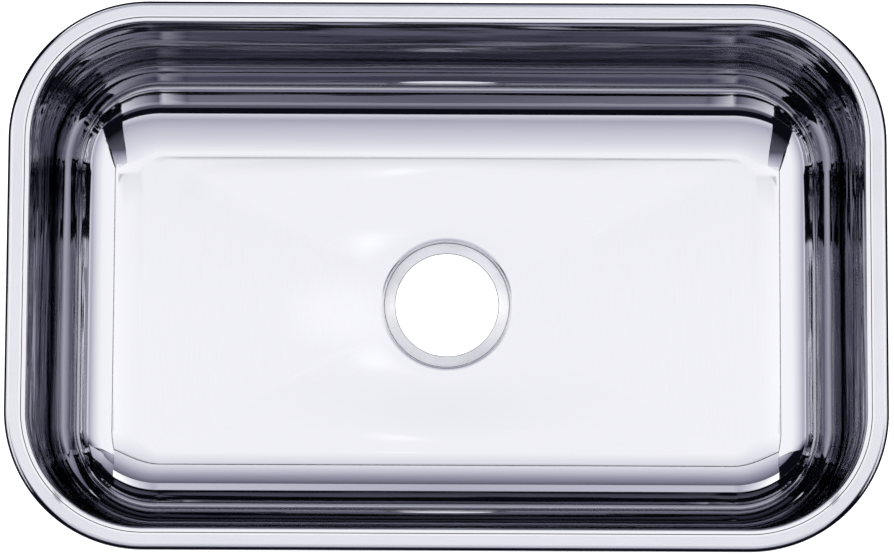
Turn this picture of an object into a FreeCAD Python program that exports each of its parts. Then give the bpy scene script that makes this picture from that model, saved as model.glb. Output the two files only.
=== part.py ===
"""Single-bowl pressed steel kitchen sink with swing-out clamps under its flange.

The bowl is one deep-drawn sheet: a turned-down lip, a narrow flange, tapered walls, a wide floor
radius, a floor that falls to the middle and a stepped seat round an open drain hole. A foam seal
lies in the hollow under the flange, damping pads are glued to the outside of the bowl, and each
clamp is a welded bracket, a captive screw with its retaining ring, and an arm with a threaded bush.
The screw's first quarter turn swings the arm out, and the next turns lift the arm along the screw.

Millimetres. The origin is under the centre of the drain hole, at the lowest plane of the sink.
X runs along the sink, Y towards its back, Z up.
"""
import FreeCAD, Part
import math
import os

Vector = FreeCAD.Vector
UP = Vector(0, 0, 1)
ORIGIN = Vector(0, 0, 0)
SAME_POINT = 1e-6

# Bowl, measured on the inside surface
BOWL_LENGTH = 560.0
BOWL_WIDTH = 340.0
BOWL_DEPTH = 170.0
SHEET = 0.8
WALL_DRAFT_DEG = 3.0
FLOOR_RADIUS = 60.0
FLOOR_CORNER_RADIUS = 13.0
FLOOR_FALL = 1.5
RIM_RADIUS = 5.0

# Flange and its turned-down lip
FLANGE_WIDTH = 15.0
LIP_HEIGHT = 5.0
LIP_RADIUS = 2.5

# Drain hole and the stepped seat for a waste fitting
DRAIN_HOLE_DIAMETER = 73.0
DRAIN_SEAT_WIDTH = 7.0
DRAIN_STEP_RUN = 3.5
DRAIN_SEAT_DEPTH = 7.0
DRAIN_RIM_BEND = 2.0
DRAIN_SEAT_BEND = 2.5
DRAIN_RIM_LAND = 3.0

# Foam seal in the hollow under the flange
SEAL_WIDTH = 3.0
SEAL_STANDS_PROUD = 0.5
SEAL_BEND_CLEARANCE = 0.1

# Damping pads
PAD_THICKNESS = 2.5
PAD_CORNER_RADIUS = 9.0
FLOOR_PAD_MARGIN = 12.0
WALL_PAD_TOP = 26.0
WALL_PAD_MARGIN = 6.0

# Clamps
CLAMP_END_INSET = 50.0
BRACKET_SHEET = 1.5
BRACKET_WIDTH = 14.0
BRACKET_TOP = 9.0
BRACKET_HEIGHT = 55.0
BRACKET_LEG_OVERHANG = 3.2
SPOT_WELD_DIAMETER = 4.5
SPOT_WELD_DEPTH = 0.3
SPOT_WELD_PITCH = 34.0
SCREW_DIAMETER = 4.0
SCREW_TIP_LENGTH = 2.0
SCREW_TIP_CHAMFER = 0.5
SCREW_HEAD_ACROSS_FLATS = 7.0
SCREW_HEAD_HEIGHT = 2.8
SCREW_SLOT_WIDTH = 1.0
SCREW_SLOT_DEPTH = 1.2
RING_GROOVE_DIAMETER = 3.2
RING_DIAMETER = 7.0
RING_THICKNESS = 0.7
RING_MOUTH = 2.4
ARM_LENGTH = 34.0
ARM_WIDTH = 7.0
ARM_THICKNESS = 2.5
ARM_TOOTH_HEIGHT = 3.5
ARM_TOOTH_NOTCHES = 2
ARM_TOOTH_NOTCH_DEPTH = 1.6
BUSH_DIAMETER = 5.6
BUSH_COLLAR_DIAMETER = 6.8
BUSH_COLLAR_HEIGHT = 1.2

# Clearances
GLUE_GAP = 0.05
PRESS_GAP = 0.02
SCREW_RUNNING_GAP = 0.05
BRACKET_HOLE_GAP = 0.2
RING_END_GAP = 0.2
ARM_REST_GAP = 0.3
ARM_WALL_GAP = 0.45

# Sizes that follow from the ones above. Heights are from the top of the flange, offsets are
# from the inside of the wall there, positive towards the middle of the bowl.
draft = math.radians(WALL_DRAFT_DEG)
half_length = BOWL_LENGTH / 2
half_width = BOWL_WIDTH / 2
floor_depth = BOWL_DEPTH - FLOOR_FALL
floor_tangent = FLOOR_RADIUS * math.tan(math.pi / 4 - draft / 2)
floor_offset = floor_depth * math.tan(draft) + floor_tangent
corner_radius = FLOOR_CORNER_RADIUS + floor_offset
straight_length = 2 * (half_length - corner_radius)
straight_width = 2 * (half_width - corner_radius)
wall_bottom = floor_depth - floor_tangent * math.cos(draft)
rim_height = BOWL_DEPTH + DRAIN_SEAT_DEPTH + SHEET
drain_seat_radius = DRAIN_HOLE_DIAMETER / 2 + DRAIN_SEAT_WIDTH
drain_rim_radius = drain_seat_radius + DRAIN_STEP_RUN
drain_land_radius = drain_rim_radius + DRAIN_RIM_LAND
clamp_offset = straight_length / 2 - CLAMP_END_INSET
bracket_bottom = BRACKET_TOP + BRACKET_HEIGHT


def wall_reach(depth):
    """Distance outwards from the rim line to the outside of the wall at a depth below the flange."""
    return SHEET / math.cos(draft) - depth * math.tan(draft)


screw_reach = wall_reach(BRACKET_TOP) + GLUE_GAP + BRACKET_SHEET + ARM_WALL_GAP + ARM_WIDTH / 2
ring_bottom = bracket_bottom - BRACKET_SHEET - RING_END_GAP
bush_bottom = ring_bottom - RING_THICKNESS - ARM_REST_GAP
arm_bottom = bush_bottom - BUSH_COLLAR_HEIGHT
arm_top = arm_bottom - ARM_THICKNESS


def unit(start, end):
    """Unit direction from one 2D point to another."""
    length = math.hypot(end[0] - start[0], end[1] - start[1])
    return (end[0] - start[0]) / length, (end[1] - start[1]) / length


def turn_at(before, corner, after):
    """Signed turn of a path at a corner, in radians, positive to the left."""
    ax, ay = unit(before, corner)
    bx, by = unit(corner, after)
    return math.atan2(ax * by - ay * bx, ax * bx + ay * by)


def bent_path(corners, radii):
    """Lines and arcs along 2D corners, as lists of two or three points, with each inner corner rounded."""
    segments = []
    start = corners[0]
    for before, corner, after, radius in zip(corners, corners[1:], corners[2:], radii):
        turn = turn_at(before, corner, after)
        reach = radius * math.tan(abs(turn) / 2)
        ax, ay = unit(before, corner)
        bx, by = unit(corner, after)
        first = corner[0] - ax * reach, corner[1] - ay * reach
        last = corner[0] + bx * reach, corner[1] + by * reach
        bisector = unit((0, 0), (bx - ax, by - ay))
        sagitta = radius / math.cos(turn / 2) - radius
        middle = corner[0] + bisector[0] * sagitta, corner[1] + bisector[1] * sagitta
        segments += [[start, first], [first, middle, last]]
        start = last
    segments.append([start, corners[-1]])
    return [segment for segment in segments if math.dist(segment[0], segment[-1]) > SAME_POINT]


def parallel_path(corners, radii, distance):
    """Corners and radii of the path that lies a distance to the right of a bent path."""
    moved = []
    for index, corner in enumerate(corners):
        before = corners[max(index - 1, 0)]
        after = corners[min(index + 1, len(corners) - 1)]
        ax, ay = unit(before, corner) if index else unit(corner, after)
        turn = turn_at(before, corner, after) if 0 < index < len(corners) - 1 else 0.0
        slip = distance * math.tan(turn / 2)
        moved.append((corner[0] + ay * distance + ax * slip, corner[1] - ax * distance + ay * slip))
    inner = zip(corners, corners[1:], corners[2:], radii)
    turns = [(turn_at(before, corner, after), radius) for before, corner, after, radius in inner]
    return moved, [radius + math.copysign(distance, turn) for turn, radius in turns]


def sheet_section(corners, radii, thickness):
    """Closed outline of a bent sheet: one face follows the corners, and the body lies to its right."""
    face = bent_path(corners, radii)
    back_corners, back_radii = parallel_path(corners, radii, thickness)
    back = [segment[::-1] for segment in bent_path(back_corners, back_radii)[::-1]]
    return face + [[face[-1][-1], back[0][0]]] + back + [[back[-1][-1], face[0][0]]]


def polygon_section(points):
    """Closed outline with straight sides."""
    return [[start, end] for start, end in zip(points, points[1:] + points[:1])]


def section_face(section, place):
    """Plane face of an outline, with place turning each 2D point into a 3D one."""
    edges = []
    for segment in section:
        points = [place(*point) for point in segment]
        curve = Part.LineSegment(*points) if len(points) == 2 else Part.Arc(*points)
        edges.append(curve.toShape())
    return Part.Face(Part.Wire(edges))


def turned(shape, degrees):
    """A copy of a shape turned about the vertical axis through the origin."""
    copy = shape.copy()
    copy.rotate(ORIGIN, UP, degrees)
    return copy


def swept_round_bowl(section):
    """Solid with one section, in offsets and heights from the flange, all the way round the bowl."""
    pieces = []
    for distance, run, angle in ((half_width, straight_length, 0), (half_length, straight_width, 90)):
        face = section_face(section, lambda t, z: Vector(-run / 2, distance - t, rim_height + z))
        side = face.extrude(Vector(run, 0, 0))
        pieces += [turned(side, angle), turned(side, angle + 180)]
    face = section_face(section, lambda t, z: Vector(0, corner_radius - t, rim_height + z))
    corner = face.revolve(ORIGIN, UP, 90)
    for index, (sx, sy) in enumerate(((-1, 1), (-1, -1), (1, -1), (1, 1))):
        piece = turned(corner, 90 * index)
        piece.translate(Vector(sx * straight_length / 2, sy * straight_width / 2, 0))
        pieces.append(piece)
    return pieces


def fused(pieces):
    """One solid from touching pieces, with the seams between equal faces removed."""
    return pieces[0].fuse(pieces[1:]).removeSplitter()


def prism(outline, bottom, top):
    """Upright solid from a flat outline of 2D segments between two heights."""
    return section_face(outline, lambda x, y: Vector(x, y, bottom)).extrude(Vector(0, 0, top - bottom))


def rounded_rectangle(low, high, radius):
    """Outline of an upright rectangle with rounded corners, anticlockwise."""
    start = (low[0] + high[0]) / 2, low[1]
    corners = [start, (high[0], low[1]), high, (low[0], high[1]), low, start]
    return bent_path(corners, [radius] * 4)


def floor_loops(height):
    """Rim wire of the floor panel at a height and the drain land's circle below, with matching vertices."""
    hx, hy, radius = half_length - floor_offset, half_width - floor_offset, FLOOR_CORNER_RADIUS
    quarter = [(hx, hy - radius), (hx - radius, hy)]
    points = quarter + [(-x, y) for x, y in quarter[::-1]]
    points += [(-x, -y) for x, y in points]
    rim_edges, circle_edges = [], []
    for index, (start, end) in enumerate(zip(points, points[1:] + points[:1])):
        angles = [math.atan2(y, x) for x, y in (start, end)]
        angles[1] += 2 * math.pi if angles[1] < angles[0] else 0
        middle_angle = sum(angles) / 2
        ends = [Vector(x, y, height) for x, y in (start, end)]
        if index % 2:
            rim_edges.append(Part.LineSegment(*ends).toShape())
        else:
            sx, sy = math.copysign(1, start[0] + end[0]), math.copysign(1, start[1] + end[1])
            bulge = radius * math.sqrt(0.5)
            middle = Vector(sx * (hx - radius + bulge), sy * (hy - radius + bulge), height)
            rim_edges.append(Part.Arc(ends[0], middle, ends[1]).toShape())
        arc = [
            Vector(drain_land_radius * math.cos(a), drain_land_radius * math.sin(a), height - FLOOR_FALL)
            for a in (angles[0], middle_angle, angles[1])
        ]
        circle_edges.append(Part.Arc(*arc).toShape())
    return Part.Wire(rim_edges), Part.Wire(circle_edges)


def floor_slab(offset, thickness):
    """Slab of even upright thickness along the falling floor, its top an offset below the floor's face."""
    top = rim_height - floor_depth - offset
    rim, circle = floor_loops(top)
    hollow = Part.makeLoft([rim, circle], True, True)
    lower_rim, lower_circle = floor_loops(top - thickness)
    body = Part.Face(lower_rim).extrude(Vector(0, 0, thickness))
    body = body.fuse(Part.makeLoft([lower_rim, lower_circle], True, True))
    depth = FLOOR_FALL + thickness
    core = Part.makeCylinder(drain_land_radius, depth, Vector(0, 0, top - depth))
    return body.cut(hollow).cut(core)


def pressed_bowl():
    """The drawn sheet: lip, flange, walls, floor and drain seat in one piece."""
    floor_corner = floor_depth * math.tan(draft), -floor_depth
    wall_path = [(-FLANGE_WIDTH, -LIP_HEIGHT), (-FLANGE_WIDTH, 0), (0, 0), floor_corner]
    wall_path.append((floor_offset, -floor_depth))
    section = sheet_section(wall_path, [LIP_RADIUS, RIM_RADIUS, FLOOR_RADIUS], SHEET)
    pieces = swept_round_bowl(section)
    pieces.append(floor_slab(0, SHEET))
    seat_top = rim_height - BOWL_DEPTH - DRAIN_SEAT_DEPTH
    land_top = rim_height - BOWL_DEPTH
    seat_path = [(DRAIN_HOLE_DIAMETER / 2, seat_top), (drain_seat_radius, seat_top)]
    seat_path += [(drain_rim_radius, land_top), (drain_land_radius, land_top)]
    seat_section = sheet_section(seat_path, [DRAIN_SEAT_BEND, DRAIN_RIM_BEND], SHEET)
    seat = section_face(seat_section, lambda r, z: Vector(r, 0, z))
    pieces.append(seat.revolve(ORIGIN, UP, 360))
    return fused(pieces)


def rim_seal():
    """Foam strip on the flat underside of the flange, just inside the bend of the lip."""
    outer = -FLANGE_WIDTH + LIP_RADIUS + SEAL_BEND_CLEARANCE
    inner = outer + SEAL_WIDTH
    top = -SHEET - GLUE_GAP
    bottom = -LIP_HEIGHT - SEAL_STANDS_PROUD
    section = polygon_section([(outer, top), (inner, top), (inner, bottom), (outer, bottom)])
    return fused(swept_round_bowl(section))


def floor_pad(side):
    """Damping pad under the floor, to the left or right of the drain."""
    near = drain_land_radius + FLOOR_PAD_MARGIN
    far = half_length - floor_offset - FLOOR_PAD_MARGIN
    reach = half_width - floor_offset - FLOOR_PAD_MARGIN
    low_x, high_x = (near, far) if side > 0 else (-far, -near)
    outline = rounded_rectangle((low_x, -reach), (high_x, reach), PAD_CORNER_RADIUS)
    slab = floor_slab(SHEET + GLUE_GAP, PAD_THICKNESS)
    return slab.common(prism(outline, 0, rim_height))


def wall_pad(left, right, top, bottom):
    """Damping pad on the outside of the back wall, between two distances along it and two depths."""
    span = [wall_reach(depth) + GLUE_GAP for depth in (top, bottom)]
    section = [(span[0], -top), (span[0] + PAD_THICKNESS, -top)]
    section += [(span[1] + PAD_THICKNESS, -bottom), (span[1], -bottom)]
    face = section_face(polygon_section(section), lambda v, z: Vector(left, half_width + v, rim_height + z))
    strip = face.extrude(Vector(right - left, 0, 0))
    outline = rounded_rectangle((left, rim_height - bottom), (right, rim_height - top), PAD_CORNER_RADIUS)
    cutter = section_face(outline, lambda x, z: Vector(x, 0, z)).extrude(Vector(0, 2 * half_width, 0))
    return strip.common(cutter)


def on_wall(shape, distance, along, angle):
    """Moves a piece made for the middle of the back wall to its own wall and place."""
    shape.translate(Vector(along, distance - half_width, 0))
    return turned(shape, angle)


def clamp_axis(height):
    """Point on the screw's axis of a clamp at the middle of the back wall, at a depth below the flange."""
    return Vector(0, half_width + screw_reach, rim_height - height)


def upright_cylinder(diameter, bottom, top):
    """Cylinder on the clamp screw's axis between two depths."""
    return Part.makeCylinder(diameter / 2, bottom - top, clamp_axis(bottom))


def clamp_bracket():
    """Welded channel whose two legs carry the clamp screw."""
    reach = screw_reach + BRACKET_LEG_OVERHANG
    leg = BRACKET_SHEET
    top_wall = wall_reach(BRACKET_TOP) + GLUE_GAP
    bottom_wall = wall_reach(bracket_bottom) + GLUE_GAP
    under_top = wall_reach(BRACKET_TOP + leg) + GLUE_GAP + BRACKET_SHEET
    over_bottom = wall_reach(bracket_bottom - leg) + GLUE_GAP + BRACKET_SHEET
    outline = [(top_wall, -BRACKET_TOP), (bottom_wall, -bracket_bottom), (reach, -bracket_bottom)]
    outline += [(reach, -bracket_bottom + leg), (over_bottom, -bracket_bottom + leg)]
    outline += [(under_top, -BRACKET_TOP - leg), (reach, -BRACKET_TOP - leg), (reach, -BRACKET_TOP)]
    place = lambda v, z: Vector(-BRACKET_WIDTH / 2, half_width + v, rim_height + z)
    channel = section_face(polygon_section(outline), place).extrude(Vector(BRACKET_WIDTH, 0, 0))
    hole = SCREW_DIAMETER + 2 * BRACKET_HOLE_GAP
    channel = channel.cut(upright_cylinder(hole, bracket_bottom + leg, BRACKET_TOP - leg))
    out_of_wall = Vector(0, math.cos(draft), -math.sin(draft))
    for step in (-0.5, 0.5):
        depth = (BRACKET_TOP + bracket_bottom) / 2 + step * SPOT_WELD_PITCH
        face = wall_reach(depth) + GLUE_GAP + BRACKET_SHEET / math.cos(draft)
        centre = Vector(0, half_width + face, rim_height - depth)
        bite = centre - out_of_wall * SPOT_WELD_DEPTH
        channel = channel.cut(Part.makeCylinder(SPOT_WELD_DIAMETER / 2, BRACKET_SHEET, bite, out_of_wall))
    return channel


def clamp_screw():
    """Captive screw: slotted hexagon head below the bracket, and a ring groove above its lower leg."""
    tip = BRACKET_TOP - SCREW_TIP_LENGTH
    head_top = bracket_bottom + RING_END_GAP
    shank = upright_cylinder(SCREW_DIAMETER, head_top, tip + SCREW_TIP_CHAMFER)
    point = Part.makeCone(
        SCREW_DIAMETER / 2, SCREW_DIAMETER / 2 - SCREW_TIP_CHAMFER, SCREW_TIP_CHAMFER,
        clamp_axis(tip + SCREW_TIP_CHAMFER),
    )
    across_corners = SCREW_HEAD_ACROSS_FLATS / math.cos(math.pi / 6)
    centre = clamp_axis(head_top + SCREW_HEAD_HEIGHT)
    corners = [
        (centre.x + across_corners / 2 * math.cos(a), centre.y + across_corners / 2 * math.sin(a))
        for a in (math.pi / 3 * step for step in range(6))
    ]
    head = prism(polygon_section(corners), centre.z, centre.z + SCREW_HEAD_HEIGHT)
    slot = Part.makeBox(2 * across_corners, SCREW_SLOT_WIDTH, SCREW_SLOT_DEPTH)
    slot.translate(centre - Vector(across_corners, SCREW_SLOT_WIDTH / 2, 0))
    groove = upright_cylinder(2 * SCREW_DIAMETER, ring_bottom, ring_bottom - RING_THICKNESS)
    groove = groove.cut(upright_cylinder(RING_GROOVE_DIAMETER, ring_bottom, ring_bottom - RING_THICKNESS))
    return shank.fuse([point, head]).cut(slot).cut(groove).removeSplitter()


def clamp_ring():
    """Open retaining ring that sits in the screw's groove above the lower leg."""
    height = RING_THICKNESS - 2 * PRESS_GAP
    bottom = ring_bottom - PRESS_GAP
    ring = upright_cylinder(RING_DIAMETER, bottom, bottom - height)
    ring = ring.cut(upright_cylinder(RING_GROOVE_DIAMETER + 2 * PRESS_GAP, bottom, bottom - height))
    mouth = Part.makeBox(RING_MOUTH, RING_DIAMETER, height)
    mouth.translate(clamp_axis(bottom) - Vector(RING_MOUTH / 2, 0, 0))
    return ring.cut(mouth)


def clamp_arm():
    """Arm that lies along the wall at rest, with a square heel corner as its stop and a toothed tip."""
    half = ARM_WIDTH / 2
    outline = [(-half, half), (-half, 0), (0, -half), (ARM_LENGTH, -half), (ARM_LENGTH, half)]
    axis = clamp_axis(0)
    points = [(axis.x + x, axis.y + y) for x, y in outline]
    heel_middle = axis.x - half * math.sqrt(0.5), axis.y - half * math.sqrt(0.5)
    section = polygon_section(points)
    section[1] = [points[1], heel_middle, points[2]]
    bar = prism(section, rim_height - arm_bottom, rim_height - arm_top)
    tooth = Part.makeBox(ARM_THICKNESS, ARM_WIDTH, ARM_TOOTH_HEIGHT)
    tooth_base = Vector(axis.x + ARM_LENGTH - ARM_THICKNESS, axis.y - half, rim_height - arm_top)
    tooth.translate(tooth_base)
    pitch = ARM_WIDTH / (ARM_TOOTH_NOTCHES + 1)
    for index in range(ARM_TOOTH_NOTCHES):
        y = tooth_base.y + pitch * (index + 1)
        top = tooth_base.z + ARM_TOOTH_HEIGHT
        wedge = [(y - pitch / 2, top), (y, top - ARM_TOOTH_NOTCH_DEPTH), (y + pitch / 2, top)]
        notch = section_face(polygon_section(wedge), lambda a, b: Vector(tooth_base.x, a, b))
        tooth = tooth.cut(notch.extrude(Vector(ARM_THICKNESS, 0, 0)))
    hole = upright_cylinder(BUSH_DIAMETER + 2 * PRESS_GAP, arm_bottom, arm_top)
    return bar.fuse(tooth).cut(hole).removeSplitter()


def clamp_bush():
    """Collared bush in the arm, which runs on the screw."""
    body = upright_cylinder(BUSH_DIAMETER, arm_bottom, arm_top)
    collar = upright_cylinder(BUSH_COLLAR_DIAMETER, bush_bottom, arm_bottom + PRESS_GAP)
    neck = upright_cylinder(BUSH_DIAMETER, arm_bottom + PRESS_GAP, arm_bottom)
    bore = upright_cylinder(SCREW_DIAMETER + 2 * SCREW_RUNNING_GAP, bush_bottom, arm_top)
    return body.fuse([neck, collar]).cut(bore).removeSplitter()


CLAMP_PIECES = {
    "clamp_bracket": clamp_bracket,
    "clamp_screw": clamp_screw,
    "clamp_ring": clamp_ring,
    "clamp_arm": clamp_arm,
    "clamp_bush": clamp_bush,
}

# Wall of each clamp: distance of the wall from the middle, place along it, turn from the back wall.
CLAMP_PLACES = {
    "back_left": (half_width, -clamp_offset, 0),
    "back_middle": (half_width, 0, 0),
    "back_right": (half_width, clamp_offset, 0),
    "left_end": (half_length, 0, 90),
    "front_right": (half_width, -clamp_offset, 180),
    "front_middle": (half_width, 0, 180),
    "front_left": (half_width, clamp_offset, 180),
    "right_end": (half_length, 0, 270),
}


def damping_pads():
    """All the pads by name: two under the floor, and one each side of the middle clamp on every wall."""
    pads = {"floor_pad_left": floor_pad(-1), "floor_pad_right": floor_pad(1)}
    bottom = wall_bottom - WALL_PAD_MARGIN
    near = BRACKET_WIDTH / 2 + WALL_PAD_MARGIN
    walls = {
        "back": (half_width, clamp_offset - near, 0, ("left", "right")),
        "left": (half_length, straight_width / 2 - WALL_PAD_MARGIN, 90, ("front", "back")),
        "front": (half_width, clamp_offset - near, 180, ("right", "left")),
        "right": (half_length, straight_width / 2 - WALL_PAD_MARGIN, 270, ("back", "front")),
    }
    for wall, (distance, far, angle, ends) in walls.items():
        for end, (start, stop) in zip(ends, ((-far, -near), (near, far))):
            pad = wall_pad(start, stop, WALL_PAD_TOP, bottom)
            pads[f"{wall}_pad_{end}"] = on_wall(pad, distance, 0, angle)
    return pads


def all_pieces():
    """Every sub-part of the sink by node name."""
    pieces = {"pressed_bowl": pressed_bowl(), "rim_seal": rim_seal()}
    pieces.update(damping_pads())
    for kind, make in CLAMP_PIECES.items():
        for place, (distance, along, angle) in CLAMP_PLACES.items():
            pieces[f"{kind}_{place}"] = on_wall(make(), distance, along, angle)
    return pieces


os.makedirs("parts", exist_ok=True)
for node, shape in all_pieces().items():
    box = shape.BoundBox
    size = " x ".join(f"{length:.1f}" for length in (box.XLength, box.YLength, box.ZLength))
    print(f"{node}: {len(shape.Solids)} solid, valid {shape.isValid()}, {shape.Volume:.1f} mm3, {size}")
    shape.exportStep(f"parts/{node}.step")
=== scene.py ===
"""Looks of a pressed steel sink: a mirror-polished bowl with a seal, pads and clamps below its flange.

Metres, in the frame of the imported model: X along the sink, Y towards its back, Z up.
"""
import logging
import math
from dataclasses import dataclass, field
from enum import Enum
from itertools import product
from typing import Callable, Iterable, Sequence, Union

import bmesh
import bpy
import numpy as np
from mathutils import Matrix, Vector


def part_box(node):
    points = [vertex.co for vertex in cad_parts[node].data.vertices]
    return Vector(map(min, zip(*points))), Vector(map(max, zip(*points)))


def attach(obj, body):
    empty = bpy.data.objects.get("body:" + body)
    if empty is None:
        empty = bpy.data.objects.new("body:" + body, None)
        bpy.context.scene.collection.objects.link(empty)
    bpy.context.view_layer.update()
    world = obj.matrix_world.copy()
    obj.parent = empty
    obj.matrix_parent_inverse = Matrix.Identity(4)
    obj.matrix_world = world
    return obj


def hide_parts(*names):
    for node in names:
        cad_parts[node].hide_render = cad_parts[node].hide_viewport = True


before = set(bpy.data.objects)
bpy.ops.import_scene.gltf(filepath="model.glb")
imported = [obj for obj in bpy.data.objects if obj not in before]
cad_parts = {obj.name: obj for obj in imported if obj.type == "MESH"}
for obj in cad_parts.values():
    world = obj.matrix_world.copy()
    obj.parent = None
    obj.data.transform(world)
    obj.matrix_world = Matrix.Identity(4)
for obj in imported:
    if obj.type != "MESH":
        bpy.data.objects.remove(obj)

Colour = tuple[float, float, float]
Point = tuple[float, float]
Corner = tuple[float, float, float]
Quad = tuple[Corner, Corner, Corner, Corner]
Feed = Union[bpy.types.NodeSocket, float, Sequence[float]]

LOG = logging.getLogger("sink")
IMAGE_WIDTH_PX = 894
MM = 0.001
QUARTERS = ((1, 1), (-1, 1), (-1, -1), (1, -1))
MIX_SHARE, MIX_FIRST, MIX_SECOND = 0, 6, 7
MIX_COLOUR = 2


class Place(Enum):
    """The clamps, by where they stand round the bowl."""

    BACK_LEFT = "back_left"
    BACK_MIDDLE = "back_middle"
    BACK_RIGHT = "back_right"
    LEFT_END = "left_end"
    FRONT_RIGHT = "front_right"
    FRONT_MIDDLE = "front_middle"
    FRONT_LEFT = "front_left"
    RIGHT_END = "right_end"


class Wall(Enum):
    """The outward direction of each straight wall of the bowl."""

    BACK = (0, 1)
    LEFT = (-1, 0)
    FRONT = (0, -1)
    RIGHT = (1, 0)


class WallPair(Enum):
    """Opposite walls, by the axis that they face along."""

    ENDS = "X"
    LONG = "Y"


class Socket(Enum):
    """Kinds of socket on a node group."""

    VALUE = "NodeSocketFloat"
    VECTOR = "NodeSocketVector"


class Coordinates(Enum):
    """What a finish takes the place of its texture from."""

    OBJECT = "object"
    FLOW = "flow"


class Skin(Enum):
    """Material slots of the bowl's sheet, in order."""

    POLISHED = 0
    TURNED = 1
    MILL = 2
    FLANGE = 3
    # Dark sheared-edge steel, partly the edge's real dull tone and partly painted shade; also laid on the
    # drain seat's bend as a painted shade line
    CUT = 4


class Wiring:
    """Adds nodes to one node tree and joins them."""

    def __init__(self, tree: bpy.types.NodeTree) -> None:
        """Keeps the tree that nodes go into."""
        self.tree = tree

    def put(self, kind: str, feeds: dict[Union[int, str], Feed] | None = None,
            **settings: object) -> bpy.types.Node:
        """Adds a node.

        Args:
            kind: Blender's name of the node type.
            feeds: For each input, a socket to link from or a plain value.
            settings: Properties of the node.

        Returns:
            The new node.
        """
        node = self.tree.nodes.new(kind)
        for key, value in settings.items():
            setattr(node, key, value)
        for key, feed in (feeds or {}).items():
            self.feed(node.inputs[key], feed)
        return node

    def feed(self, socket: bpy.types.NodeSocket, feed: Feed) -> None:
        """Links an input to a socket, or sets its value.

        Args:
            socket: The input.
            feed: Socket to link from, or a plain value.
        """
        if isinstance(feed, bpy.types.NodeSocket):
            self.tree.links.new(feed, socket)
        else:
            socket.default_value = feed

    def mix(self, share: Feed, first: Feed, second: Feed) -> bpy.types.NodeSocket:
        """Mixes two colours.

        Args:
            share: How much of the second colour shows, 0 to 1.
            first: Colour where the share is 0.
            second: Colour where the share is 1.

        Returns:
            The mixed colour.
        """
        feeds = {MIX_SHARE: share, MIX_FIRST: rgba(first), MIX_SECOND: rgba(second)}
        return self.put("ShaderNodeMix", feeds, data_type="RGBA").outputs[MIX_COLOUR]

    def sum(self, first: Feed, second: Feed) -> bpy.types.NodeSocket:
        """Adds two values."""
        return self.put("ShaderNodeMath", {0: first, 1: second}, operation="ADD").outputs[0]

    def times(self, first: Feed, second: Feed) -> bpy.types.NodeSocket:
        """Multiplies two values."""
        return self.put("ShaderNodeMath", {0: first, 1: second}, operation="MULTIPLY").outputs[0]

    def stretched(self, vector: Feed, scale: Feed) -> bpy.types.NodeSocket:
        """Multiplies two vectors axis by axis."""
        return self.put("ShaderNodeVectorMath", {0: vector, 1: scale}, operation="MULTIPLY").outputs[0]

    def length(self, vector: Feed) -> bpy.types.NodeSocket:
        """Length of a vector."""
        return self.put("ShaderNodeVectorMath", {0: vector}, operation="LENGTH").outputs["Value"]

    def noise(self, feeds: dict[str, Feed], **settings: object) -> bpy.types.NodeSocket:
        """Noise as a value."""
        return self.put("ShaderNodeTexNoise", feeds, **settings).outputs[0]

    def blend(self, share: Feed, first: bpy.types.Node, second: bpy.types.Node) -> bpy.types.Node:
        """Mixes two shaders, and shows the second where the share is 1."""
        return self.put("ShaderNodeMixShader", {0: share, 1: first.outputs[0], 2: second.outputs[0]})

    def show(self, shader: bpy.types.Node) -> None:
        """Makes a shader the surface of the material."""
        self.feed(self.tree.nodes["Material Output"].inputs["Surface"], shader.outputs[0])

    def ranged(self, value: Feed, low: float, high: float, start: float, end: float) -> bpy.types.NodeSocket:
        """Maps a value from one range to another and clamps it.

        Args:
            value: The value to map.
            low: Value that becomes start.
            high: Value that becomes end.
            start: First end of the new range.
            end: Other end of the new range.

        Returns:
            The mapped value.
        """
        feeds = {0: value, 1: low, 2: high, 3: start, 4: end}
        return self.put("ShaderNodeMapRange", feeds).outputs[0]


def rgba(feed: Feed) -> Feed:
    """A plain colour with its alpha, or the socket as it is."""
    return feed if isinstance(feed, bpy.types.NodeSocket) else (*feed, 1.0)


def blank_material(name: str) -> tuple[bpy.types.Material, Wiring]:
    """Makes a new material.

    Args:
        name: Its name.

    Returns:
        The material, and the wiring of its nodes.
    """
    material = bpy.data.materials.new(name)
    material.use_nodes = True
    return material, Wiring(material.node_tree)


class Effect:
    """A shader node group with named inputs and outputs, built once and placed in many materials."""

    def __init__(self, name: str, inputs: dict[str, Socket], outputs: Iterable[str]) -> None:
        """Makes the empty group.

        Args:
            name: The group's name.
            inputs: Kind of each named input.
            outputs: Names of the outputs, all values.
        """
        self.tree = bpy.data.node_groups.new(name, "ShaderNodeTree")
        for label, kind in inputs.items():
            self.tree.interface.new_socket(label, in_out="INPUT", socket_type=kind.value)
        for label in outputs:
            self.tree.interface.new_socket(label, in_out="OUTPUT", socket_type=Socket.VALUE.value)
        self.wiring = Wiring(self.tree)
        self.inlet = self.wiring.put("NodeGroupInput").outputs
        self.outlet = self.wiring.put("NodeGroupOutput").inputs

    def give(self, label: str, value: bpy.types.NodeSocket) -> None:
        """Joins a value to one of the group's outputs."""
        self.wiring.feed(self.outlet[label], value)

    def place(self, wiring: Wiring, **feeds: Feed) -> bpy.types.NodeOutputs:
        """Puts the group in a material.

        Args:
            wiring: The material's wiring.
            feeds: A value or socket for each input, named in lower case.

        Returns:
            The outputs of the placed group.
        """
        node = wiring.put("ShaderNodeGroup", node_tree=self.tree)
        for label, feed in feeds.items():
            wiring.feed(node.inputs[label.capitalize()], feed)
        return node.outputs


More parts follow.
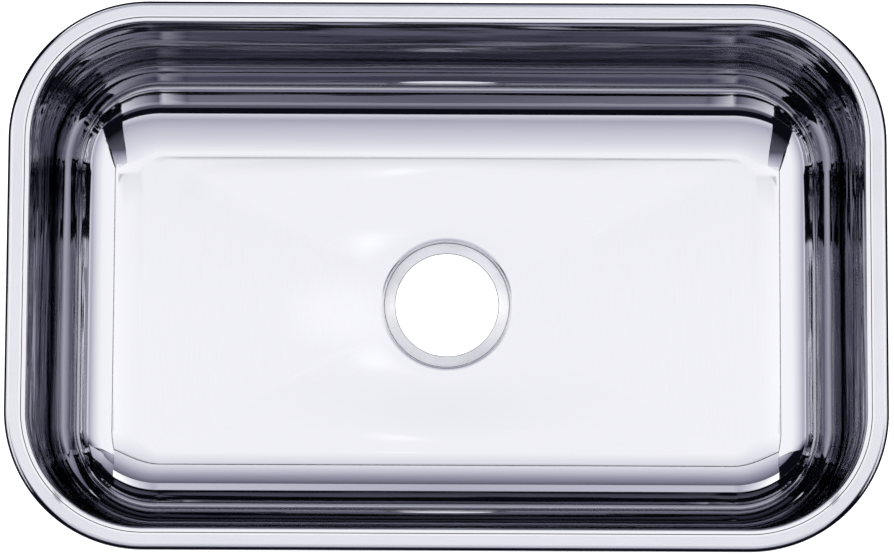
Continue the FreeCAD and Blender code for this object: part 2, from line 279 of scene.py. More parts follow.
class Effects:
    """The effects that several finishes share, with the range of each noise that shows."""

    grain_range: Point = (0.35, 0.65)
    smudge_range: Point = (0.4, 0.7)
    edge_range: Point = (0.52, 0.62)
    patch_range: Point = (0.35, 0.6)
    patch_least: float = 0.2

    def __init__(self) -> None:
        """Builds every group once."""
        self.grain = self._grain()
        self.smudge = self._smudge()
        self.wear = self._wear()

    def _grain(self) -> Effect:
        """Fine noise, drawn out along a direction by its scale: hairlines, cells or speckle.

        Returns:
            The group, with the noise as a height and as a mask.
        """
        effect = Effect("fine_grain", {"Vector": Socket.VECTOR, "Scale": Socket.VECTOR}, ("Height", "Mask"))
        w = effect.wiring
        place = w.stretched(effect.inlet["Vector"], effect.inlet["Scale"])
        noise = w.noise({"Vector": place, "Scale": 1.0, "Detail": 4.0, "Roughness": 0.6})
        effect.give("Height", noise)
        effect.give("Mask", w.ranged(noise, *self.grain_range, 0.0, 1.0))
        return effect

    def _smudge(self) -> Effect:
        """Soft clouds where a surface was handled or wiped.

        Returns:
            The group, with the clouds as a mask.
        """
        effect = Effect("soft_smudge", {"Vector": Socket.VECTOR, "Scale": Socket.VALUE}, ("Mask",))
        w, inlet = effect.wiring, effect.inlet
        feeds = {"Vector": inlet["Vector"], "Scale": inlet["Scale"], "Detail": 3.0, "Distortion": 0.8}
        effect.give("Mask", w.ranged(w.noise(feeds), *self.smudge_range, 0.0, 1.0))
        return effect

    def _wear(self) -> Effect:
        """Rubbed edges, broken up by noise.

        Returns:
            The group, with the edges as a mask.
        """
        effect = Effect("edge_wear", {"Vector": Socket.VECTOR, "Scale": Socket.VALUE}, ("Mask",))
        w, inlet = effect.wiring, effect.inlet
        pointed = w.put("ShaderNodeNewGeometry").outputs["Pointiness"]
        noise = w.noise({"Vector": inlet["Vector"], "Scale": inlet["Scale"], "Detail": 4.0})
        patches = w.ranged(noise, *self.patch_range, self.patch_least, 1.0)
        effect.give("Mask", w.times(w.ranged(pointed, *self.edge_range, 0.0, 1.0), patches))
        return effect


@dataclass(frozen=True)
class Finish:
    """A surface with grain, smudges and worn edges.

    The grain's scale is in features a metre along each axis, and the bump's depth in metres.
    """

    name: str
    colour: Colour
    shade: Colour
    worn: Colour
    roughness: tuple[float, float]
    grain_scale: tuple[float, float, float]
    bump_depth: float
    metallic: float = 1.0
    bump_strength: float = 0.3
    smudge_scale: float = 12.0
    wear_scale: float = 400.0
    coordinates: Coordinates = Coordinates.OBJECT
    anisotropy: float = 0.0
    anisotropy_turn: float = 0.25
    edge_tint: Colour = (1.0, 1.0, 1.0)

    def build(self, effects: Effects) -> bpy.types.Material:
        """Makes the material.

        Args:
            effects: The shared node groups.

        Returns:
            The new material.
        """
        material, w = blank_material(self.name)
        shader = material.node_tree.nodes["Principled BSDF"]
        place = self._place(w)
        grain = effects.grain.place(w, vector=place, scale=self.grain_scale)
        smudge = effects.smudge.place(w, vector=place, scale=self.smudge_scale)
        wear = effects.wear.place(w, vector=place, scale=self.wear_scale)
        body = w.mix(grain["Mask"], self.colour, self.shade)
        w.feed(shader.inputs["Base Color"], w.mix(wear["Mask"], body, self.worn))
        w.feed(shader.inputs["Roughness"], self._roughness(w, smudge["Mask"]))
        shader.inputs["Metallic"].default_value = self.metallic
        shader.inputs["Specular Tint"].default_value = rgba(self.edge_tint)
        shader.inputs["Anisotropic"].default_value = self.anisotropy
        if self.anisotropy:
            shader.inputs["Anisotropic Rotation"].default_value = self.anisotropy_turn
            tangent = w.put("ShaderNodeTangent", direction_type="RADIAL", axis="Z")
            w.feed(shader.inputs["Tangent"], tangent.outputs[0])
        bump = w.put("ShaderNodeBump", {"Strength": self.bump_strength, "Distance": self.bump_depth})
        w.feed(bump.inputs["Height"], self._height(w, place, grain))
        w.feed(shader.inputs["Normal"], bump.outputs[0])
        return material

    def _place(self, w: Wiring) -> bpy.types.NodeSocket:
        """Texture coordinates in metres.

        Args:
            w: The material's wiring.

        Returns:
            The coordinates.
        """
        if self.coordinates is Coordinates.FLOW:
            return w.put("ShaderNodeUVMap", uv_map=Coordinates.FLOW.value).outputs[0]
        return w.put("ShaderNodeTexCoord").outputs["Object"]

    def _roughness(self, w: Wiring, smudged: Feed) -> bpy.types.NodeSocket:
        """Roughness between its two ends, the second where the surface is smudged."""
        return w.ranged(smudged, 0.0, 1.0, *self.roughness)

    def _height(self, w: Wiring, place: Feed, grain: bpy.types.NodeOutputs) -> bpy.types.NodeSocket:
        """Height of the bump: the grain alone."""
        return grain["Height"]


@dataclass(frozen=True)
class WavedFinish(Finish):
    """A finish on drawn sheet, whose walls also have waves left by the press, most of all at the ends.

    The waves' scale is in waves a metre round the bowl and down its section. They set in between two heights.
    """

    wave_scale: tuple[float, float, float] = (9.0, 9.0, 1.0)
    wave_height: float = 1.0
    long_wave_height: float = 0.0
    wave_start: tuple[float, float] = (0.03, 0.07)
    wall_roughness: float = 0.0
    end_roughness: float = 0.0

    def _share(self, w: Wiring, walls: WallPair, most: float) -> bpy.types.NodeSocket:
        """A value that grows up one pair of walls.

        Args:
            w: The material's wiring.
            walls: The pair of walls.
            most: The value at the top of such a wall.

        Returns:
            The value.
        """
        geometry = w.put("ShaderNodeNewGeometry").outputs
        facing = w.put("ShaderNodeSeparateXYZ", {0: geometry["Normal"]}).outputs[walls.value]
        facing = w.put("ShaderNodeMath", {0: facing}, operation="ABSOLUTE").outputs[0]
        level = w.put("ShaderNodeSeparateXYZ", {0: geometry["Position"]}).outputs["Z"]
        return w.times(facing, w.ranged(level, *self.wave_start, 0.0, most))

    def _roughness(self, w: Wiring, smudged: Feed) -> bpy.types.NodeSocket:
        """Roughness of the finish, which changes a little up the long walls and the end walls."""
        rough = w.sum(super()._roughness(w, smudged), self._share(w, WallPair.LONG, self.wall_roughness))
        return w.sum(rough, self._share(w, WallPair.ENDS, self.end_roughness))

    def _height(self, w: Wiring, place: Feed, grain: bpy.types.NodeOutputs) -> bpy.types.NodeSocket:
        """Height of the bump: grain, on waves that grow up the walls.

        Args:
            w: The material's wiring.
            place: Texture coordinates.
            grain: Outputs of the grain's group.

        Returns:
            The height.
        """
        waves = w.noise({"Vector": w.stretched(place, self.wave_scale), "Scale": 1.0, "Detail": 1.0})
        ends = self._share(w, WallPair.ENDS, self.wave_height)
        share = w.sum(ends, self._share(w, WallPair.LONG, self.long_wave_height))
        return w.sum(grain["Height"], w.times(waves, share))


@dataclass(frozen=True)
class TurnedFinish(Finish):
    """A finish faced on a lathe about the vertical axis through the origin."""

    rings_per_metre: float = 2500.0
    ring_height: float = 2.0

    def _height(self, w: Wiring, place: Feed, grain: bpy.types.NodeOutputs) -> bpy.types.NodeSocket:
        """Height of the bump: grain on concentric tool lines.

        Args:
            w: The material's wiring.
            place: Texture coordinates.
            grain: Outputs of the grain's group.

        Returns:
            The height.
        """
        radius = w.length(w.stretched(place, (1.0, 1.0, 0.0)))
        feeds = {"W": w.times(radius, self.rings_per_metre), "Scale": 1.0, "Detail": 2.0}
        rings = w.noise(feeds, noise_dimensions="1D")
        return w.sum(grain["Height"], w.times(rings, self.ring_height))


POLISHED_STEEL = WavedFinish(
    name="polished_steel", colour=(0.502, 0.502, 0.538), shade=(0.492, 0.492, 0.53), worn=(0.52, 0.52, 0.55),
    roughness=(0.03, 0.045), grain_scale=(30.0, 2600.0, 1.0), bump_depth=2e-6, bump_strength=0.12,
    coordinates=Coordinates.FLOW, wave_scale=(9.0, 40.0, 1.0), wave_height=7500.0, long_wave_height=1800.0,
    wall_roughness=0.012, end_roughness=-0.016, edge_tint=(0.62, 0.62, 0.66),
)
FLANGE_STEEL = Finish(
    name="flange_steel", colour=(0.464, 0.464, 0.505), shade=(0.45, 0.45, 0.492), worn=(0.5, 0.5, 0.53),
    roughness=(0.13, 0.2), grain_scale=(90.0, 900.0, 1.0), bump_depth=4e-6, bump_strength=0.2,
    coordinates=Coordinates.FLOW,
)
TURNED_STEEL = TurnedFinish(
    name="turned_steel", colour=(0.8, 0.8, 0.825), shade=(0.73, 0.73, 0.76), worn=(0.82, 0.82, 0.84),
    roughness=(0.42, 0.52), grain_scale=(900.0, 900.0, 900.0), bump_depth=3e-6, bump_strength=0.4,
    anisotropy=0.9,
)
# Dark steel for the sheared edge of the drain hole, partly its real dull tone and partly a painted shade
# line; also laid on the seat's bend, where it is only a painted shade line in the crease
CUT_EDGE_AND_PAINTED_SHADE = Finish(
    name="cut_edge_and_painted_shade", colour=(0.14, 0.14, 0.15), shade=(0.1, 0.1, 0.11), worn=(0.2, 0.2, 0.21),
    roughness=(0.4, 0.55), grain_scale=(900.0, 900.0, 200.0), bump_depth=1e-5,
)
MILL_STEEL = WavedFinish(
    name="mill_steel", colour=(0.56, 0.56, 0.575), shade=(0.47, 0.47, 0.485), worn=(0.66, 0.66, 0.67),
    roughness=(0.27, 0.42), grain_scale=(420.0, 40.0, 1.0), bump_depth=1.5e-5, bump_strength=0.2,
    coordinates=Coordinates.FLOW, wave_height=6.0,
)
BRACKET_STEEL = Finish(
    name="bracket_steel", colour=(0.60, 0.60, 0.61), shade=(0.46, 0.47, 0.48), worn=(0.74, 0.74, 0.74),
    roughness=(0.28, 0.5), grain_scale=(300.0, 300.0, 60.0), bump_depth=2e-5,
)
PLATED_SCREW = Finish(
    name="plated_screw", colour=(0.74, 0.74, 0.72), shade=(0.58, 0.6, 0.62), worn=(0.85, 0.84, 0.8),
    roughness=(0.14, 0.3), grain_scale=(900.0, 900.0, 500.0), bump_depth=8e-6,
)
SPRING_STEEL = Finish(
    name="spring_steel", colour=(0.30, 0.30, 0.32), shade=(0.2, 0.2, 0.21), worn=(0.55, 0.54, 0.53),
    roughness=(0.25, 0.4), grain_scale=(1500.0, 1500.0, 300.0), bump_depth=6e-6,
)
PLATED_ARM = Finish(
    name="plated_arm", colour=(0.68, 0.68, 0.65), shade=(0.52, 0.54, 0.57), worn=(0.8, 0.79, 0.76),
    roughness=(0.24, 0.42), grain_scale=(500.0, 500.0, 500.0), bump_depth=2e-5,
)
BUSH_BRASS = Finish(
    name="bush_brass", colour=(0.78, 0.58, 0.27), shade=(0.64, 0.45, 0.2), worn=(0.9, 0.74, 0.42),
    roughness=(0.2, 0.34), grain_scale=(300.0, 300.0, 2500.0), bump_depth=8e-6,
)
DAMPING_RUBBER = Finish(
    name="damping_rubber", colour=(0.055, 0.057, 0.062), shade=(0.035, 0.036, 0.04), worn=(0.12, 0.12, 0.125),
    metallic=0.0, roughness=(0.62, 0.8), grain_scale=(900.0, 900.0, 900.0), bump_depth=1.2e-4,
)
SEAL_FOAM = Finish(
    name="seal_foam", colour=(0.10, 0.10, 0.105), shade=(0.05, 0.05, 0.055), worn=(0.16, 0.16, 0.17),
    metallic=0.0, roughness=(0.8, 0.95), grain_scale=(1800.0, 1800.0, 1800.0), bump_depth=2e-4,
    bump_strength=0.5,
)


class Finishes:
    """Every material of the object, built once."""

    def __init__(self) -> None:
        """Builds the materials."""
        effects = Effects()
        self.polished = POLISHED_STEEL.build(effects)
        self.flange = FLANGE_STEEL.build(effects)
        self.turned = TURNED_STEEL.build(effects)
        self.mill = MILL_STEEL.build(effects)
        # Dark edge steel with painted shade, also used as a painted shade line in the seat's bend
        self.cut = CUT_EDGE_AND_PAINTED_SHADE.build(effects)
        self.bracket = BRACKET_STEEL.build(effects)
        self.screw = PLATED_SCREW.build(effects)
        self.ring = SPRING_STEEL.build(effects)
        self.arm = PLATED_ARM.build(effects)
        self.bush = BUSH_BRASS.build(effects)
        self.rubber = DAMPING_RUBBER.build(effects)
        self.foam = SEAL_FOAM.build(effects)


@dataclass
class Ring:
    """One closed row of points round a piece, with the surface's normals there."""

    points: np.ndarray
    normals: np.ndarray


def rounded_path(corners: Sequence[Point], radii: Sequence[float], arc_steps: Sequence[int],
                 run_steps: Sequence[int]) -> tuple[np.ndarray, np.ndarray]:
    """Follows 2D corners with each inner corner rounded.

    Args:
        corners: Ends and corners of the path.
        radii: Radius at each inner corner.
        arc_steps: Pieces that each arc is divided into.
        run_steps: Pieces that each straight run is divided into.

    Returns:
        Points along the path, and the unit normals to its left.
    """
    points, normals = [], []
    start = np.array(corners[0])
    for index, run in enumerate(run_steps):
        corner = np.array(corners[index + 1])
        ahead = (corner - start) / np.linalg.norm(corner - start)
        left = np.array((-ahead[1], ahead[0]))
        end, arc = corner, []
        if index < len(radii):
            out = np.array(corners[index + 2]) - corner
            out /= np.linalg.norm(out)
            turn = math.atan2(ahead[0] * out[1] - ahead[1] * out[0], float(ahead @ out))
            end = corner - ahead * radii[index] * math.tan(abs(turn) / 2)
            side = math.copysign(1.0, turn)
            centre = end + left * side * radii[index]
            angles = [turn * step / arc_steps[index] for step in range(1, arc_steps[index])]
            arc = [left * math.cos(a) - ahead * math.sin(a) for a in angles]
        for step in range(run + 1):
            points.append(start + (end - start) * step / run)
            normals.append(left)
        for normal in arc:
            points.append(centre - normal * side * radii[index])
            normals.append(normal)
        if index < len(radii):
            start = corner + out * radii[index] * math.tan(abs(turn) / 2)
    return np.array(points), np.array(normals)


def edge_round(normal: np.ndarray, onward: np.ndarray, steps: int) -> list[np.ndarray]:
    """Directions from the middle of a sheet's edge, from one face round to the other, ends left out."""
    angles = [math.pi * step / steps for step in range(1, steps)]
    return [normal * math.cos(a) + onward * math.sin(a) for a in angles]


def shown_mesh(name: str, points: np.ndarray, faces: Sequence[Sequence[int]],
               normals: np.ndarray | None = None) -> bpy.types.Object:
    """Makes a smooth mesh object and links it to the scene.

    Args:
        name: Name of the object.
        points: Corner points, in metres.
        faces: Corner numbers of each face.
        normals: Normal at each point, or none for Blender's own.

    Returns:
        The new object.
    """
    mesh = bpy.data.meshes.new(name)
    mesh.from_pydata(points.tolist(), [], faces)
    mesh.shade_smooth()
    if normals is not None:
        mesh.normals_split_custom_set_from_vertices(normals.tolist())
    piece = bpy.data.objects.new(name, mesh)
    bpy.context.scene.collection.objects.link(piece)
    return piece


def closed_grid(rows: int, columns: int) -> list[tuple[int, int, int, int]]:
    """Faces of a grid that closes in both directions, row after row.

    Args:
        rows: Rows of points.
        columns: Points in a row.

    Returns:
        The corner numbers of each face.
    """
    faces = []
    for row, column in product(range(rows), range(columns)):
        here, after = row * columns, (row + 1) % rows * columns
        right = (column + 1) % columns
        faces.append((here + column, here + right, after + right, after + column))
    return faces


def open_grid(steps: int, start: int = 0) -> list[tuple[int, int, int, int]]:
    """Faces of a square grid of points.

    Args:
        steps: Faces along each side.
        start: Number of its first point.

    Returns:
        The corner numbers of each face.
    """
    row = steps + 1
    corners = [start + across * row + along for across, along in product(range(steps), repeat=2)]
    return [(corner, corner + 1, corner + row + 1, corner + row) for corner in corners]


def dress(piece: bpy.types.Object, *materials: bpy.types.Material) -> None:
    """Gives a piece its materials.

    Args:
        piece: The piece.
        materials: Its materials, in slot order.
    """
    piece.data.materials.clear()
    for material in materials:
        piece.data.materials.append(material)


def settle(piece: bpy.types.Object, body: str, slot: str, *nodes: str) -> bpy.types.Object:
    """Rides a finished piece on its body, in place of the solids that it stands for.

    Args:
        piece: The piece, in place.
        body: CAD body that it moves with.
        slot: Not used.
        nodes: CAD nodes that it replaces.

    Returns:
        The same piece.
    """
    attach(piece, body)
    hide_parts(*nodes)
    LOG.info("%s rides on %s for %s", piece.name, body, ", ".join(nodes))
    return piece


@dataclass
class PressedBowl:
    """The drawn sheet: lip, flange, walls, floor and drain seat.

    Offsets are from the inside of the wall at the flange, positive towards the middle of the bowl.
    """

    sheet: float = 0.8 * MM
    wall_draft: float = math.radians(3.0)
    floor_radius: float = 60.0 * MM
    floor_corner_radius: float = 13.0 * MM
    floor_fall: float = 1.5 * MM
    rim_bend: float = 1.6 * MM
    step_out: float = 3.7 * MM
    step_in: float = 3.2 * MM
    step_fall: float = 0.6 * MM
    step_bend: float = 0.15 * MM
    flange_width: float = 15.0 * MM
    lip_height: float = 5.0 * MM
    lip_radius: float = 4.2 * MM
    drain_hole_radius: float = 36.5 * MM
    drain_seat_width: float = 7.9 * MM
    drain_step_run: float = 1.05 * MM
    drain_seat_depth: float = 7.0 * MM
    drain_chamfer: float = 1.25 * MM
    drain_chamfer_fall: float = 0.505 * MM
    drain_chamfer_bend: float = 5.9 * MM
    drain_rim_bend: float = 0.3 * MM
    drain_seat_bend: float = 0.4 * MM
    land_radius: float = 50.0 * MM
    corner_steps: int = 36
    long_steps: int = 52
    short_steps: int = 24
    skirt_steps: int = 2
    lip_steps: int = 10
    flange_steps: int = 6
    fold_steps: int = 4
    ledge_steps: int = 2
    rim_steps: int = 10
    wall_steps: int = 10
    fillet_steps: int = 48
    floor_rings: int = 26
    edge_steps: int = 6
    chamfer_rows: int = 8
    shoulder_rows: int = 6
    step_rows: int = 2
    bend_rows: int = 6
    seat_rows: int = 6
    half_length: float = field(init=False)
    half_width: float = field(init=False)
    rim: float = field(init=False)
    seat_top: float = field(init=False)
    land_top: float = field(init=False)
    floor_top: float = field(init=False)
    depth: float = field(init=False)
    floor_offset: float = field(init=False)
    corner_radius: float = field(init=False)
    inner_x: float = field(init=False)
    inner_y: float = field(init=False)
    seat_radius: float = field(init=False)
    stems: np.ndarray = field(init=False)
    outward: np.ndarray = field(init=False)

    def __post_init__(self) -> None:
        """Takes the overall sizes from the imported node, and works out the rest."""
        low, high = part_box("pressed_bowl")
        self.half_length = (high.x - low.x) / 2 - self.flange_width
        self.half_width = (high.y - low.y) / 2 - self.flange_width
        self.rim = high.z
        self.seat_top = self.sheet
        self.land_top = self.sheet + self.drain_seat_depth
        self.floor_top = self.land_top + self.floor_fall
        self.depth = self.rim - self.floor_top
        tangent = self.floor_radius * math.tan(math.pi / 4 - self.wall_draft / 2)
        self.floor_offset = self.depth * math.tan(self.wall_draft) + tangent
        self.corner_radius = self.floor_corner_radius + self.floor_offset
        self.inner_x = self.half_length - self.corner_radius
        self.inner_y = self.half_width - self.corner_radius
        self.seat_radius = self.drain_hole_radius + self.drain_seat_width
        self.stems, self.outward = self._perimeter()

    def _perimeter(self) -> tuple[np.ndarray, np.ndarray]:
        """Walks once round the bowl, anticlockwise from the right end.

        Returns:
            Points on the rectangle of corner centres, and the outward direction at each.
        """
        stems, outward = [], []
        middle = np.array((self.inner_x, self.inner_y))
        for index, side in enumerate(QUARTERS):
            centre, after = middle * side, middle * QUARTERS[(index + 1) % len(QUARTERS)]
            for step in range(self.corner_steps):
                angle = math.pi / 2 * (index + step / self.corner_steps)
                stems.append(centre)
                outward.append((math.cos(angle), math.sin(angle)))
            runs = self.short_steps if index % 2 else self.long_steps
            angle = math.pi / 2 * (index + 1)
            for step in range(runs):
                stems.append(centre + (after - centre) * step / runs)
                outward.append((math.cos(angle), math.sin(angle)))
        return np.array(stems), np.array(outward)

    def ring_at(self, offset: float, height: float, normal: Sequence[float] = (0.0, 1.0)) -> Ring:
        """A row round the bowl at an offset and height.

        Args:
            offset: Distance inwards from the rim line.
            height: Height in the frame.
            normal: Normal in the section, inwards and up, which is straight up if left out.

        Returns:
            The row.
        """
        flat = self.stems + self.outward * (self.corner_radius - offset)
        points = np.column_stack((flat, np.full(len(flat), height)))
        normals = np.column_stack((-self.outward * normal[0], np.full(len(flat), normal[1])))
        return Ring(points, normals)

    def floor_rim(self) -> tuple[np.ndarray, np.ndarray]:
        """Points along the rim of the floor, and their bearings from the drain."""
        rim = self.ring_at(self.floor_offset, self.floor_top).points
        return rim, np.arctan2(rim[:, 1], rim[:, 0])

    def wall_outside(self, height: float) -> float:
        """Distance outwards from the rim line to the outside of the wall at a height."""
        return self.sheet / math.cos(self.wall_draft) - (self.rim - height) * math.tan(self.wall_draft)

    def fall_at(self, share: np.ndarray) -> np.ndarray:
        """Drop of the floor at a share of the way from its rim to the drain, level at both ends."""
        return self.floor_fall * share**2 * (3 - 2 * share)

    def wall_rings(self) -> list[Ring]:
        """Lays rows from the lip over the flange and down the wall to the rim of the floor.

        Returns:
            The rows on the upper face.
        """
        bottom = self.depth * math.tan(self.wall_draft)
        corners = [
            (-self.flange_width, self.sheet / 2 - self.lip_height), (-self.flange_width, 0.0),
            (-self.step_out, 0.0), (-self.step_in, -self.step_fall),
            (self.step_fall * math.tan(self.wall_draft), -self.step_fall),
            (bottom, -self.depth), (self.floor_offset + MM, -self.depth),
        ]
        radii = [self.lip_radius, self.step_bend, self.step_bend, self.rim_bend, self.floor_radius]
        arcs = [self.lip_steps, self.fold_steps, self.fold_steps, self.rim_steps, self.fillet_steps]
        runs = [self.skirt_steps, self.flange_steps, 1, self.ledge_steps, self.wall_steps, 1]
        points, normals = rounded_path(corners, radii, arcs, runs)
        # The last point, past the rim of the floor, only gives the path its direction there
        rows = zip(points[:-1], normals[:-1])
        return [self.ring_at(offset, self.rim + height, normal) for (offset, height), normal in rows]

    def floor_panel(self) -> list[Ring]:
        """Lays rows over the floor between its rim and the flat round the drain.

        Returns:
            The rows on the upper face.
        """
        rim, bearing = self.floor_rim()
        drain = np.column_stack((np.cos(bearing), np.sin(bearing))) * self.land_radius
        shares = np.linspace(0.0, 1.0, self.floor_rings + 2)
        grid = np.empty((len(shares), len(rim), 3))
        for row, share in enumerate(shares):
            grid[row, :, :2] = rim[:, :2] + (drain - rim[:, :2]) * share
            grid[row, :, 2] = self.floor_top - self.fall_at(share)
        down = np.gradient(grid, axis=0)
        around = np.roll(grid, -1, axis=1) - np.roll(grid, 1, axis=1)
        normals = np.cross(around, down)
        normals *= np.sign(normals[..., 2:])
        normals /= np.linalg.norm(normals, axis=2, keepdims=True)
        return [Ring(grid[row], normals[row]) for row in range(1, len(shares) - 1)]

    def drain_ring(self, radius: float, height: float, normal: Sequence[float]) -> Ring:
        """A round row about the drain, with its points in line with the floor's.

        Args:
            radius: Radius of the row.
            height: Height in the frame.
            normal: Normal in the section, inwards and up.

        Returns:
            The row.
        """
        bearing = self.floor_rim()[1]
        out = np.column_stack((np.cos(bearing), np.sin(bearing)))
        points = np.column_stack((out * radius, np.full(len(out), height)))
        return Ring(points, np.column_stack((-out * normal[0], np.full(len(out), normal[1]))))

    def drain_rings(self) -> list[Ring]:
        """Lays rows from the flat round the drain, down the step and over the seat to the hole.

        Returns:
            The rows on the upper face.
        """
        hole = self.drain_hole_radius + self.sheet / 2
        step = self.seat_radius + self.drain_step_run
        corners = [
            (-self.land_radius, self.land_top), (-step - self.drain_chamfer, self.land_top),
            (-step, self.land_top - self.drain_chamfer_fall), (-self.seat_radius, self.seat_top),
            (-hole, self.seat_top),
        ]
        radii = [self.drain_chamfer_bend, self.drain_rim_bend, self.drain_seat_bend]
        arcs = [self.chamfer_rows, self.shoulder_rows, self.bend_rows]
        points, normals = rounded_path(corners, radii, arcs, [1, 1, self.step_rows, self.seat_rows])
        rows = zip(points, normals)
        return [self.drain_ring(-offset, height, normal) for (offset, height), normal in rows]

    def under(self, ring: Ring) -> Ring:
        """The row on the other face of the sheet."""
        return Ring(ring.points - ring.normals * self.sheet, -ring.normals)

    def edge(self, ring: Ring, onward: np.ndarray) -> list[Ring]:
        """Rows round the cut edge of the sheet that ends at a row.

        Args:
            ring: Last row of the face.
            onward: Direction in which the sheet ends, at each point.

        Returns:
            The rows between the two faces.
        """
        middle = ring.points - ring.normals * self.sheet / 2
        turns = edge_round(ring.normals, onward, self.edge_steps)
        return [Ring(middle + turn * self.sheet / 2, turn) for turn in turns]

    def build(self, finishes: Finishes) -> bpy.types.Object:
        """Makes the whole sheet as one closed mesh.

        Args:
            finishes: The object's materials.

        Returns:
            The bowl.
        """
        walls, floor, drain = self.wall_rings(), self.floor_panel(), self.drain_rings()
        top = walls + floor + drain
        step_start = len(top) - self.step_rows - self.bend_rows - self.seat_rows - 1
        lip = self.skirt_steps + self.lip_steps - 1
        inwards = np.column_stack((-drain[-1].points[:, :2], np.zeros(len(self.stems))))
        inwards /= np.linalg.norm(inwards, axis=1, keepdims=True)
        downwards = np.tile((0.0, 0.0, -1.0), (len(self.stems), 1))
        hole_edge = self.edge(top[-1], inwards)
        lip_edge = self.edge(top[0], downwards)[::-1]
        rings = top + hole_edge + [self.under(ring) for ring in top[::-1]] + lip_edge
        skins = [Skin.POLISHED] * lip + [Skin.FLANGE] * self.flange_steps
        skins += [Skin.POLISHED] * (step_start - len(skins))
        # The seat's bend gets the dark edge steel: a painted shade line in the crease
        skins += [Skin.TURNED] * self.step_rows + [Skin.CUT] * self.bend_rows
        # The seat's last row and the hole's edge get the dark edge steel, partly the sheared edge's real dull
        # tone and partly a painted shade line
        skins += [Skin.TURNED] * self.seat_rows + [Skin.CUT] * (1 + len(hole_edge))
        skins += [Skin.MILL] * len(top) + [Skin.POLISHED] * len(lip_edge)
        points = np.concatenate([ring.points for ring in rings])
        normals = np.concatenate([ring.normals for ring in rings])
        columns = len(self.stems)
        bowl = shown_mesh("bowl_sheet", points, closed_grid(len(rings), columns), normals)
        dress(bowl, finishes.polished, finishes.turned, finishes.mill, finishes.flange, finishes.cut)
        slots = np.repeat([skin.value for skin in skins], columns)
        bowl.data.polygons.foreach_set("material_index", slots.astype(np.int32))
        self._lay_flow(bowl, rings)
        return settle(bowl, "sink", "polished_steel", "pressed_bowl")

    def _lay_flow(self, bowl: bpy.types.Object, rings: Sequence[Ring]) -> None:
        """Writes each corner's distance round the rim and down the section as the flow map.

        Args:
            bowl: The bowl's object.
            rings: Its rows, in order.
        """
        columns = len(self.stems)
        rim = self.ring_at(0.0, 0.0).points
        around = np.linalg.norm(np.roll(rim, -1, axis=0) - rim, axis=1)
        around = np.concatenate(([0.0], np.cumsum(around)))
        # A quarter of the way round is on the back wall
        middles = np.array([ring.points[columns // 4] for ring in rings + rings[:1]])
        down = np.concatenate(([0.0], np.cumsum(np.linalg.norm(np.diff(middles, axis=0), axis=1))))
        flow = np.empty((len(rings), columns, 4, 2))
        for corner, (row, column) in enumerate(((0, 0), (0, 1), (1, 1), (1, 0))):
            flow[:, :, corner, 0] = around[column:column + columns][None, :]
            flow[:, :, corner, 1] = down[row:row + len(rings)][:, None]
        layer = bowl.data.uv_layers.new(name=Coordinates.FLOW.value)
        layer.data.foreach_set("uv", flow.reshape(-1).astype(np.float32))


@dataclass
class FoamSeal:
    """Soft strip in the hollow of the flange, glued to it from below.

    Each wave of its crushed face has a share of the depth, a count round the bowl and a phase.
    """

    bowl: PressedBowl
    width: float = 3.0 * MM
    squareness: float = 5.0
    crush: float = 0.15 * MM
    crush_mean: float = 0.5
    crush_waves: tuple[Corner, ...] = ((0.3, 9.0, 0.0), (0.2, 23.0, 1.0))
    section_steps: int = 20
    fill: float = 0.9

    def build(self, finishes: Finishes) -> bpy.types.Object:
        """Makes the strip as one closed loop.

        Args:
            finishes: The object's materials.

        Returns:
            The seal.
        """
        low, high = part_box("rim_seal")
        middle = self.bowl.half_length - high.x + self.width / 2
        half_width, half_height = self.width / 2, (high.z - low.z) / 2
        rings = []
        for step in range(self.section_steps):
            angle = -2 * math.pi * (step + 0.5) / self.section_steps
            across, up = math.cos(angle), math.sin(angle)
            offset = middle + half_width * math.copysign(abs(across) ** (2 / self.squareness), across)
            height = half_height * math.copysign(abs(up) ** (2 / self.squareness), up)
            ring = self.bowl.ring_at(offset, (low.z + high.z) / 2 + height)
            ring.points[:, 2] += self._crushed() * max(0.0, -up)
            rings.append(ring)
        points = np.concatenate([ring.points for ring in rings])
        seal = shown_mesh("foam_seal", points, closed_grid(len(rings), len(self.bowl.stems)))
        dress(seal, finishes.foam)
        return settle(seal, "sink", "seal_foam", "rim_seal")

    def _crushed(self) -> np.ndarray:
        """How far the free face has been pressed in.

        Returns:
            The depth at each point round the bowl.
        """
        turn = 2 * math.pi * np.arange(len(self.bowl.stems)) / len(self.bowl.stems)
        waves = sum(share * np.sin(count * turn + phase) for share, count, phase in self.crush_waves)
        return self.crush * (self.crush_mean + waves)


